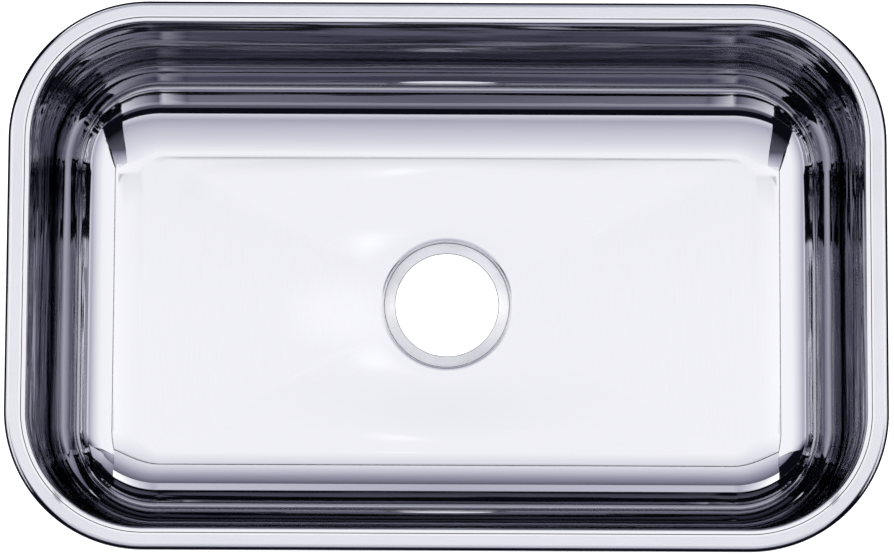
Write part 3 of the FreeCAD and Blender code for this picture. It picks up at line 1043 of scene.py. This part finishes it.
@dataclass
class DampingPads:
    """Rubber sheets glued to the outside of the walls and the floor, with soft edges and a slight crown."""

    bowl: PressedBowl
    thickness: float = 2.5 * MM
    corner_radius: float = 9.0 * MM
    glue: float = 0.05 * MM
    glued_edge: float = 0.3 * MM
    free_edge: float = 1.0 * MM
    crown: float = 0.25 * MM
    corner_steps: int = 8
    side_steps: int = 12
    edge_steps: int = 4
    face_rings: int = 8
    fill: float = 1.0

    def build(self, finishes: Finishes) -> list[bpy.types.Object]:
        """Makes all the pads.

        Args:
            finishes: The object's materials.

        Returns:
            The pads.
        """
        pads = [self._floor_pad(f"floor_pad_{end}") for end in ("left", "right")]
        for wall in Wall:
            ends = ("left", "right") if wall.value[1] else ("front", "back")
            pads += [self._wall_pad(f"{wall.name.lower()}_pad_{end}", wall) for end in ends]
        for pad in pads:
            dress(pad, finishes.rubber)
            settle(pad, "sink", "damping_pad", pad.name.removeprefix("rubber_"))
        return pads

    def _floor_pad(self, node: str) -> bpy.types.Object:
        """Makes a pad that follows the underside of the floor.

        Args:
            node: CAD node that it stands for.

        Returns:
            The pad.
        """
        low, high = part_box(node)
        middle, half = (low + high) / 2, (high - low) / 2
        rim, bearing = self.bowl.floor_rim()
        reach = np.linalg.norm(rim[:, :2], axis=1)

        def lay(plan: np.ndarray, height: float) -> np.ndarray:
            """Points of the pad in the frame.

            Args:
                plan: Points of its plan.
                height: Height above the glued face.

            Returns:
                The points.
            """
            flat = plan + (middle.x, middle.y)
            far = np.linalg.norm(flat, axis=1)
            edge = np.interp(np.arctan2(flat[:, 1], flat[:, 0]), bearing, reach, period=2 * math.pi)
            share = (edge - far) / (edge - self.bowl.land_radius)
            under = self.bowl.floor_top - self.bowl.fall_at(share) - self.bowl.sheet - self.glue
            return np.column_stack((flat, under - height))

        return self._sheet(node, half.x, half.y, lay, True)

    def _wall_pad(self, node: str, wall: Wall) -> bpy.types.Object:
        """Makes a pad on one of the leaning walls.

        Args:
            node: CAD node that it stands for.
            wall: The wall.

        Returns:
            The pad.
        """
        low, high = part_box(node)
        lean_in, lean_up = math.sin(self.bowl.wall_draft), math.cos(self.bowl.wall_draft)
        bottom = low.z + self.thickness * lean_in
        level = (bottom + high.z) / 2
        out = np.array((*wall.value, 0.0))
        along = np.array((-out[1], out[0], 0.0))
        rim = self.bowl.half_length if wall.value[0] else self.bowl.half_width
        start = out * (rim + self.bowl.wall_outside(level) + self.glue) + (0.0, 0.0, level)
        start += along * float(along @ np.array((low + high) / 2))
        rise = out * lean_in + np.array((0.0, 0.0, lean_up))
        normal = out * lean_up - np.array((0.0, 0.0, lean_in))

        def lay(plan: np.ndarray, height: float) -> np.ndarray:
            """Points of the pad in the frame."""
            return start + np.outer(plan[:, 0], along) + np.outer(plan[:, 1], rise) + normal * height

        half_along = abs(float(along @ np.array(high - low))) / 2
        return self._sheet(node, half_along, (high.z - bottom) / lean_up / 2, lay, False)

    def _sheet(self, node: str, half_a: float, half_b: float,
               lay: Callable[[np.ndarray, float], np.ndarray], turned: bool) -> bpy.types.Object:
        """Makes one closed pad from rows that run out over its glued face and back over its free face.

        Args:
            node: CAD node that it stands for.
            half_a: Half its size along the first direction of its plan.
            half_b: Half its size along the second.
            lay: Puts plan points at a height above the glued face into the frame.
            turned: Whether the plan is left-handed.

        Returns:
            The pad.
        """
        rows = []
        inner = np.linspace(1.0 / self.face_rings, 1.0, self.face_rings)
        glued = self._outline(half_a, half_b, self.glued_edge)
        rows += [lay(glued * share, 0.0) for share in inner]
        for step in range(1, self.edge_steps + 1):
            angle = math.pi / 2 * step / self.edge_steps
            inset = self.glued_edge * (1 - math.sin(angle))
            rows.append(lay(self._outline(half_a, half_b, inset), self.glued_edge * (1 - math.cos(angle))))
        shoulder = self.thickness - self.crown - self.free_edge
        for step in range(self.edge_steps + 1):
            angle = math.pi / 2 * step / self.edge_steps
            inset = self.free_edge * (1 - math.cos(angle))
            level = shoulder + self.free_edge * math.sin(angle)
            rows.append(lay(self._outline(half_a, half_b, inset), level))
        free = self._outline(half_a, half_b, self.free_edge)
        rows += [lay(free * share, self.thickness - self.crown * share**2) for share in inner[-2::-1]]
        ends = [lay(np.zeros((1, 2)), height) for height in (0.0, self.thickness)]
        points = np.concatenate(rows + ends)
        columns, last = len(glued), len(rows) - 1
        faces = closed_grid(len(rows), columns)[:last * columns]
        for column in range(columns):
            right = (column + 1) % columns
            faces.append((len(points) - 2, right, column))
            faces.append((len(points) - 1, last * columns + column, last * columns + right))
        if turned:
            faces = [face[::-1] for face in faces]
        return shown_mesh(f"rubber_{node}", points, faces)

    def _outline(self, half_a: float, half_b: float, inset: float) -> np.ndarray:
        """A rounded rectangle about the origin.

        Args:
            half_a: Half its size along the first direction.
            half_b: Half its size along the second.
            inset: How far it is drawn in.

        Returns:
            Its points, in order.
        """
        points = []
        middle = np.array((half_a - self.corner_radius, half_b - self.corner_radius))
        for index, side in enumerate(QUARTERS):
            for step in range(self.corner_steps + 1):
                angle = math.pi / 2 * (index + step / self.corner_steps)
                turn = np.array((math.cos(angle), math.sin(angle))) * (self.corner_radius - inset)
                points.append(middle * side + turn)
            run = middle * QUARTERS[(index + 1) % len(QUARTERS)] - middle * side
            points += [points[-1] + run * step / self.side_steps for step in range(1, self.side_steps)]
        return np.array(points)


@dataclass
class Clamp:
    """One clamp under the flange: a bracket, a captive screw with its ring, and an arm with its bush.

    The shank's root is the share of the head's height that it reaches into the head.
    """

    place: Place
    diameter: float = 4.0 * MM
    head_height: float = 2.8 * MM
    head_bevel: float = 0.2 * MM
    shank_root: float = 0.25
    slot_width: float = 1.0 * MM
    slot_depth: float = 1.2 * MM
    groove_start: float = 1.9 * MM
    groove_width: float = 0.7 * MM
    groove_diameter: float = 3.2 * MM
    thread_start: float = 5.0 * MM
    thread_pitch: float = 1.0 * MM
    thread_depth: float = 0.42 * MM
    tip_bevel: float = 0.5 * MM
    turn_steps: int = 16
    pitch_steps: int = 6
    sheet_bevel: float = 0.25 * MM
    ring_bevel: float = 0.12 * MM
    bevel_steps: int = 2
    weld: float = 1e-3 * MM
    flat_angle: float = math.radians(1.0)
    edge_angle: float = math.radians(40.0)
    smooth_angle: float = math.radians(35.0)

    def build(self, finishes: Finishes) -> None:
        """Makes the screw and dresses the pieces whose solids stay.

        Args:
            finishes: The object's materials.
        """
        word = self.place.value
        screw = self._screw(f"threaded_screw_{word}", f"clamp_screw_{word}")
        dress(screw, finishes.screw)
        settle(screw, f"clamp_screw_{word}", "plated_screw", f"clamp_screw_{word}")
        kept = (
            ("clamp_bracket", self.sheet_bevel, finishes.bracket),
            ("clamp_ring", self.ring_bevel, finishes.ring),
            ("clamp_arm", self.sheet_bevel, finishes.arm),
            ("clamp_bush", self.ring_bevel, finishes.bush),
        )
        for kind, bevel, material in kept:
            self._soften(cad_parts[f"{kind}_{word}"], bevel, material)

    def _soften(self, node: bpy.types.Object, bevel: float, material: bpy.types.Material) -> None:
        """Breaks the edges of a solid that stays, and gives it its finish.

        Args:
            node: The CAD node's object.
            bevel: Width of the broken edge.
            material: Its finish.
        """
        node.modifiers.new("weld", "WELD").merge_threshold = self.weld
        flat = node.modifiers.new("flat", "DECIMATE")
        flat.decimate_type = "DISSOLVE"
        flat.angle_limit = self.flat_angle
        edges = node.modifiers.new("edges", "BEVEL")
        edges.width = bevel
        edges.segments = self.bevel_steps
        edges.limit_method = "ANGLE"
        edges.angle_limit = self.edge_angle
        edges.use_clamp_overlap = True
        dress(node, material)
        LOG.info("%s keeps its solid, with broken edges", node.name)

    def _screw(self, name: str, node: str) -> bpy.types.Object:
        """Makes the screw: a slotted hexagon head and a threaded shank.

        Args:
            name: Name of the object.
            node: CAD node that it stands for.

        Returns:
            The screw.
        """
        low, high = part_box(node)
        axis = (low + high) / 2
        head_top = low.z + self.head_height
        across = min(high.x - low.x, high.y - low.y)
        shape = bmesh.new()
        self._head(shape, across / 2, low.z, head_top)
        self._shank(shape, head_top - self.head_height * self.shank_root, high.z, head_top)
        if high.y - low.y > high.x - low.x:
            quarter = Matrix.Rotation(math.pi / 2, 3, "Z")
            bmesh.ops.rotate(shape, verts=shape.verts, cent=(0, 0, 0), matrix=quarter)
        bmesh.ops.translate(shape, verts=shape.verts, vec=(axis.x, axis.y, 0.0))
        bmesh.ops.recalc_face_normals(shape, faces=shape.faces)
        screw = shown_mesh(name, np.zeros((0, 3)), [])
        shape.to_mesh(screw.data)
        shape.free()
        screw.data.shade_smooth()
        screw.data.set_sharp_from_angle(angle=self.smooth_angle)
        return screw

    def _head(self, shape: bmesh.types.BMesh, half: float, bottom: float, top: float) -> None:
        """Adds the head, with its slot through two opposite corners.

        Args:
            shape: Mesh that it goes into.
            half: Half the width across the flats.
            bottom: Height of the face with the slot.
            top: Height of the face at the shank.
        """
        corner, cut = half / math.cos(math.pi / 6), self.slot_width / 2
        notch = corner - cut * math.tan(math.pi / 6)
        floor = bottom + self.slot_depth

        def corners(points: Sequence[Point], height: float) -> list[bmesh.types.BMVert]:
            """New corner points at a height."""
            return [shape.verts.new((x, y, height)) for x, y in points]

        hexagon = [(corner * math.cos(a), corner * math.sin(a)) for a in (math.pi / 3 * k for k in range(6))]
        roof = corners(hexagon, top)
        right, left = corners((hexagon[0], hexagon[3]), floor)
        cuts = [(notch, cut), (-notch, cut), (-notch, -cut), (notch, -cut)]
        sill, mouth = corners(cuts, floor), corners(cuts, bottom)
        foot = corners((hexagon[1], hexagon[2], hexagon[4], hexagon[5]), bottom)
        sides = [
            roof, [mouth[0], foot[0], foot[1], mouth[1]], [mouth[2], foot[2], foot[3], mouth[3]],
            [right, sill[0], sill[1], left, sill[2], sill[3]], [sill[0], mouth[0], mouth[1], sill[1]],
            [sill[2], mouth[2], mouth[3], sill[3]], [right, roof[0], roof[1], foot[0], mouth[0], sill[0]],
            [foot[0], roof[1], roof[2], foot[1]], [sill[1], mouth[1], foot[1], roof[2], roof[3], left],
            [left, roof[3], roof[4], foot[2], mouth[2], sill[2]], [foot[2], roof[4], roof[5], foot[3]],
            [sill[3], mouth[3], foot[3], roof[5], roof[0], right],
        ]
        for side in sides:
            shape.faces.new(side)
        bmesh.ops.recalc_face_normals(shape, faces=shape.faces)
        edges, steps = list(shape.edges), self.bevel_steps
        bmesh.ops.bevel(shape, geom=edges, offset=self.head_bevel, segments=steps, affect="EDGES")

    def _shank(self, shape: bmesh.types.BMesh, bottom: float, top: float, head_top: float) -> None:
        """Adds the shank, with the ring's groove below the thread.

        Args:
            shape: Mesh that it goes into.
            bottom: Height of its end inside the head.
            top: Height of its tip.
            head_top: Height that the groove and the thread are measured from.
        """
        radius, root = self.diameter / 2, self.groove_diameter / 2
        groove, groove_end = head_top + self.groove_start, head_top + self.groove_start + self.groove_width
        thread = head_top + self.thread_start
        rows = [(bottom, radius), (groove, radius), (groove, root), (groove_end, root), (groove_end, radius)]
        rows.append((thread, radius))
        rise = self.thread_pitch / self.pitch_steps
        for count in range(1, int((top - self.tip_bevel - thread) / rise)):
            rows.append((thread + count * rise, radius))
        rows += [(top - self.tip_bevel, radius), (top, radius - self.tip_bevel)]
        before = None
        for height, girth in rows:
            row = []
            for step in range(self.turn_steps):
                angle = 2 * math.pi * step / self.turn_steps
                reach = girth
                if thread < height < top - self.tip_bevel:
                    phase = 2 * math.pi * (height - thread) / self.thread_pitch - angle
                    run_out = min(1.0, (height - thread) / self.thread_pitch)
                    reach -= self.thread_depth * run_out * (0.5 - 0.5 * math.cos(phase))
                row.append(shape.verts.new((reach * math.cos(angle), reach * math.sin(angle), height)))
            if before is None:
                shape.faces.new(row)
            else:
                for column in range(self.turn_steps):
                    right = (column + 1) % self.turn_steps
                    shape.faces.new((before[column], before[right], row[right], row[column]))
            before = row
        shape.faces.new(before)


@dataclass
class Studio:
    """Pale floor, soft panels overhead, dark surroundings and the camera."""

    ceiling_height: float = 8.0
    glow: float = 1.746
    panel_steps: int = 10
    panel_tint: Colour = (0.767, 0.76, 1.05)
    lamp_tint: Colour = (1.0, 1.0, 0.985)
    overhead_edge: float = 0.706
    right_only: tuple[str, ...] = ("lamp_right", "lamp_inner")
    mirror_bounces: int = 12
    floor_radius: float = 14.0
    floor_steps: int = 96
    floor_drop: float = 0.2 * MM
    floor_colour: Colour = (0.86, 0.86, 0.87)
    floor_roughness: float = 0.6
    floor_light: Colour = (1.0, 1.0, 1.0)
    floor_glow: float = 0.72
    floor_fade: tuple[float, float] = (0.3, 0.5)
    surround: Colour = (0.0066, 0.0066, 0.013)
    backdrop: Colour = (0.93, 0.93, 0.94)
    spot_slope: Point = (-0.015, 0.116)
    spot_reach: Point = (0.013, 0.013)
    spot_glow: float = 0.22
    spot_steps: int = 24
    spot_drop: float = 0.05
    frame_height: float = 0.77
    frame_back: float = 0.2195
    frame_side: float = 0.312
    frame_front: float = -0.5
    frame_width: float = 0.006
    frame_shadow: float = 0.035
    frame_end: float = 0.235
    frame_fade: float = 0.03
    frame_colour: Colour = (0.21, 0.21, 0.263)
    back_shade: float = 0.5
    side_shade: float = 0.6
    soft_shade: float = 0.15
    fill_place: Corner = (2.5, 3.0, 1.6)
    fill_energy: float = 60.0
    fill_size: float = 1.6
    camera_place: Corner = (0.0, -0.3583, 3.0183)
    camera_tilt: float = math.radians(7.19)
    camera_roll: float = math.radians(0.238)
    camera_reach: float = 100.0
    lens: float = 172.6
    axis_above_middle_px: float = 3.2

    def panels(self) -> dict[str, Quad]:
        """Lists the light panels of the right half, most of which have their like on the left.

        Returns:
            The corners of each panel. A corner has its slopes seen from the sink, metres sideways for each
            metre up, and its level of light.
        """
        edge = self.overhead_edge
        return {
            "overhead": ((0.0, 0.03, 1.0), (edge, 0.03, 1.09), (edge, 0.12, 1.09), (0.0, 0.12, 1.0)),
            "overhead_back": ((0.0, 0.12, 1.0), (edge, 0.12, 1.09), (edge, 0.432, 0.9), (0.0, 0.432, 0.79)),
            "back": ((0.0, 0.452, 0.87), (edge, 0.452, 0.87), (0.88, 0.84, 0.43), (0.0, 0.84, 0.43)),
            "back_fall": ((0.0, 0.84, 0.43), (0.88, 0.84, 0.43), (1.1, 1.25, 0.135), (0.0, 1.25, 0.135)),
            "back_strip": ((0.0, 1.25, 0.55), (1.1, 1.25, 1.2), (1.4, 1.83, 1.5), (0.0, 1.83, 0.55)),
            "back_dim": ((0.0, 1.83, 0.27), (1.4, 1.83, 1.5), (2.2, 3.3, 1.2), (0.0, 3.3, 0.27)),
            "front_dim": ((0.0, -1.62, 0.1), (1.2, -1.62, 0.1), (1.5, -2.15, 0.2), (0.0, -2.15, 0.2)),
            "lamp_right": ((1.25, 0.74, 0.75), (3.1, 1.02, 0.6), (3.1, 1.75, 0.5), (1.95, 1.5, 0.35)),
            "lamp_inner": ((0.945, 0.957, 0.38), (1.347, 0.845, 0.65), (1.95, 1.5, 0.32), (1.4, 1.83, 0.15)),
            "front": ((0.0, 0.03, 0.97), (0.37, 0.03, 0.97), (0.49, -0.21, 0.8), (0.0, -0.21, 0.8)),
            "front_fall": ((0.0, -0.21, 0.8), (0.49, -0.21, 0.8), (0.86, -0.87, 0.5), (0.0, -0.87, 0.5)),
            "front_strip": ((0.0, -0.87, 0.5), (0.86, -0.87, 0.5), (1.02, -1.18, 0.8), (0.0, -1.18, 0.8)),
            "side": ((0.726, 0.1, 1.04), (0.726, 0.58, 1.04), (1.33, 0.64, 1.0), (1.33, -0.5, 1.0)),
            "side_fall": ((1.33, -0.5, 1.0), (1.33, 0.55, 1.0), (2.7, 0.55, 0.5), (2.7, -1.6, 0.5)),
            "side_back": ((1.33, 0.55, 1.0), (1.33, 0.64, 1.0), (2.7, 1.0, 0.0), (2.7, 0.55, 0.5)),
            "side_strip": ((2.7, -1.6, 0.5), (2.7, 0.5, 0.5), (3.5, 0.5, 0.9), (3.5, -2.0, 0.9)),
            "side_far": ((3.5, -2.0, 1.6), (3.5, 0.5, 1.6), (4.13, 0.5, 1.6), (4.13, -2.0, 1.6)),
            "strip_back": ((2.7, 0.5, 0.5), (2.7, 1.0, 0.0), (3.5, 1.0, 0.0), (3.5, 0.5, 0.9)),
            "front_wedge": ((0.37, 0.03, 0.8), (0.68, 0.11, 0.8), (1.0, -0.27, 0.12), (0.5, -0.2, 0.12)),
            "front_gap": ((0.5, -0.2, 0.12), (1.0, -0.27, 0.12), (1.62, -0.68, 0.0), (0.87, -0.89, 0.0)),
            "back_wedge": ((edge, 0.452, 0.7), (0.726, 0.58, 0.8), (1.67, 0.72, 0.2), (0.95, 0.95, 0.2)),
        }

    def build(self) -> None:
        """Makes the floor, the light and the camera."""
        scene = bpy.context.scene
        scene.view_settings.view_transform = "Standard"
        scene.cycles.glossy_bounces = self.mirror_bounces
        self._world()
        self._floor()
        self._ceiling()
        self._spot()
        self._opening()
        self._fill()
        self._camera()

    def _world(self) -> None:
        """Dark surroundings in reflections, and a pale backdrop where the camera sees past the floor."""
        world = bpy.data.worlds.new("surroundings")
        bpy.context.scene.world = world
        world.use_nodes = True
        world.node_tree.nodes.clear()
        w = Wiring(world.node_tree)
        dark = w.put("ShaderNodeBackground", {"Color": rgba(self.surround)})
        pale = w.put("ShaderNodeBackground", {"Color": rgba(self.backdrop)})
        mixed = w.blend(w.put("ShaderNodeLightPath").outputs["Is Camera Ray"], dark, pale)
        w.put("ShaderNodeOutputWorld", {"Surface": mixed.outputs[0]})

    def _floor(self) -> None:
        """Backlit pale table top, open to the eye from below."""
        angles = 2 * math.pi * np.arange(self.floor_steps) / self.floor_steps
        circle = np.column_stack((np.cos(angles), np.sin(angles))) * self.floor_radius
        points = np.column_stack((circle, np.full(self.floor_steps, -self.floor_drop)))
        floor = shown_mesh("pale_floor", points, [tuple(range(self.floor_steps))])
        material, w = blank_material("pale_floor")
        shader = material.node_tree.nodes["Principled BSDF"]
        shader.inputs["Base Color"].default_value = rgba(self.floor_colour)
        shader.inputs["Roughness"].default_value = self.floor_roughness
        shader.inputs["Emission Color"].default_value = rgba(self.floor_light)
        shader.inputs["Emission Strength"].default_value = self.floor_glow
        geometry = w.put("ShaderNodeNewGeometry").outputs
        gone = w.ranged(w.length(geometry["Position"]), *self.floor_fade, 0.0, 1.0)
        unlit = w.times(gone, w.put("ShaderNodeLightPath").outputs["Is Glossy Ray"])
        seen = w.blend(unlit, shader, w.put("ShaderNodeEmission", {"Color": rgba(self.surround)}))
        w.show(w.blend(geometry["Backfacing"], seen, w.put("ShaderNodeBsdfTransparent")))
        dress(floor, material)

    @staticmethod
    def _graded(name: str, points: Sequence[Corner], faces: Sequence[Sequence[int]],
                levels: Sequence[float]) -> tuple[bpy.types.Object, Wiring, bpy.types.NodeSocket]:
        """Makes a mesh that keeps a level at each point, out of the camera's sight.

        Args:
            name: Name of the object and its material.
            points: Corner points.
            faces: Corner numbers of each face.
            levels: The level at each point.

        Returns:
            The object, the wiring of its material and the level to wire there.
        """
        piece = shown_mesh(name, np.array(points), faces)
        piece.data.attributes.new("level", "FLOAT", "POINT").data.foreach_set("value", levels)
        piece.visible_camera = False
        material, w = blank_material(name)
        dress(piece, material)
        return piece, w, w.put("ShaderNodeAttribute", attribute_name="level").outputs["Fac"]

    def _ceiling(self) -> None:
        """All the light panels as one mesh high above the sink."""
        points, faces, levels = [], [], []
        height, steps = self.ceiling_height, self.panel_steps
        shares = np.linspace(0.0, 1.0, steps + 1)
        for name, corners in self.panels().items():
            first, second, third, fourth = np.array(corners)
            for side in (1.0,) if name in self.right_only else (-1.0, 1.0):
                faces += open_grid(steps, len(points))
                for across, out in product(shares, shares):
                    near, far = first + (second - first) * across, fourth + (third - fourth) * across
                    x, y, level = near + (far - near) * out
                    points.append((side * x * height, y * height, height))
                    levels.append(level)
        ceiling, w, shown = self._graded("light_panels", points, faces, levels)
        tint = w.mix(shown, self.panel_tint, self.lamp_tint)
        w.show(w.put("ShaderNodeEmission", {"Color": tint, "Strength": w.times(shown, self.glow)}))

    def _spot(self) -> None:
        """Soft round lamp just under the panels, which adds its light to theirs."""
        shares = np.linspace(-1.0, 1.0, self.spot_steps + 1)
        height = self.ceiling_height - self.spot_drop
        points, levels = [], []
        for across, along in product(shares, shares):
            x = self.spot_slope[0] + across * self.spot_reach[0]
            y = self.spot_slope[1] + along * self.spot_reach[1]
            points.append((x * height, y * height, height))
            levels.append(self.spot_glow * max(0.0, 1.0 - across**2 - along**2) ** 2)
        spot, w, shown = self._graded("round_lamp", points, open_grid(self.spot_steps), levels)
        glow = w.put("ShaderNodeEmission", {"Strength": shown})
        clear = w.put("ShaderNodeBsdfTransparent")
        w.show(w.put("ShaderNodeAddShader", {0: glow.outputs[0], 1: clear.outputs[0]}))
        spot.visible_shadow = False

    def _opening(self) -> None:
        """Dark frame of the tent's opening close above the sink, with a soft shadow along its back bar."""
        half, side, front, end = self.frame_width / 2, self.frame_side, self.frame_front, self.frame_end
        inner, outer = self.frame_back - half, self.frame_back + half
        far, soft = end + self.frame_fade, inner - self.frame_shadow
        dark, plain, dim = self.back_shade, (self.side_shade,) * 4, self.soft_shade
        bars = [
            ((-end, inner), (end, outer), (dark,) * 4),
            ((-far, inner), (-end, outer), (0.0, dark, dark, 0.0)),
            ((end, inner), (far, outer), (dark, 0.0, 0.0, dark)),
            ((-side - half, front), (-side + half, inner), plain),
            ((side - half, front), (side + half, inner), plain),
            ((-end / 2, soft), (end / 2, inner), (0.0, 0.0, dim, dim)),
            ((-end, soft), (-end / 2, inner), (0.0, 0.0, dim, 0.0)),
            ((end / 2, soft), (end, inner), (0.0, 0.0, 0.0, dim)),
        ]
        points, faces, shades = [], [], []
        for low, high, corner_shades in bars:
            faces.append(tuple(range(len(points), len(points) + 4)))
            for x, y in (low, (high[0], low[1]), high, (low[0], high[1])):
                points.append((x, y, self.frame_height))
            shades += corner_shades
        opening, w, shown = self._graded("tent_opening", points, faces, shades)
        clear = w.put("ShaderNodeBsdfTransparent")
        w.show(w.blend(shown, clear, w.put("ShaderNodeEmission", {"Color": rgba(self.frame_colour)})))
        opening.visible_shadow = False
        opening.visible_diffuse = False

    def _fill(self) -> None:
        """Soft side light for what isn't a mirror."""
        x, y, z = self.fill_place
        for word, side in (("front", -1), ("back", 1)):
            lamp = bpy.data.lights.new(f"fill_{word}", "AREA")
            lamp.energy = self.fill_energy
            lamp.size = self.fill_size
            light = bpy.data.objects.new(f"fill_{word}", lamp)
            light.location = (side * x, side * y, z)
            light.rotation_mode = "QUATERNION"
            light.rotation_quaternion = (-light.location).to_track_quat("-Z", "Y")
            light.visible_camera = False
            light.visible_glossy = False
            bpy.context.scene.collection.objects.link(light)

    def _camera(self) -> None:
        """Long lens almost straight above the sink, as in the photograph."""
        data = bpy.data.cameras.new("camera")
        data.lens = self.lens
        data.shift_y = -self.axis_above_middle_px / IMAGE_WIDTH_PX
        data.clip_end = self.camera_reach
        camera = bpy.data.objects.new("camera", data)
        turn = Matrix.Rotation(self.camera_tilt, 4, "X") @ Matrix.Rotation(self.camera_roll, 4, "Z")
        camera.matrix_world = Matrix.Translation(self.camera_place) @ turn
        bpy.context.scene.collection.objects.link(camera)
        bpy.context.scene.camera = camera


def main() -> None:
    """Builds the sink's pieces in order."""
    logging.basicConfig(level=logging.INFO, format="%(name)s: %(message)s")
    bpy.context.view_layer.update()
    finishes = Finishes()
    bowl = PressedBowl()
    bowl.build(finishes)
    FoamSeal(bowl).build(finishes)
    DampingPads(bowl).build(finishes)
    for place in Place:
        Clamp(place).build(finishes)
    Studio().build()


if __name__ == "__main__":
    main()
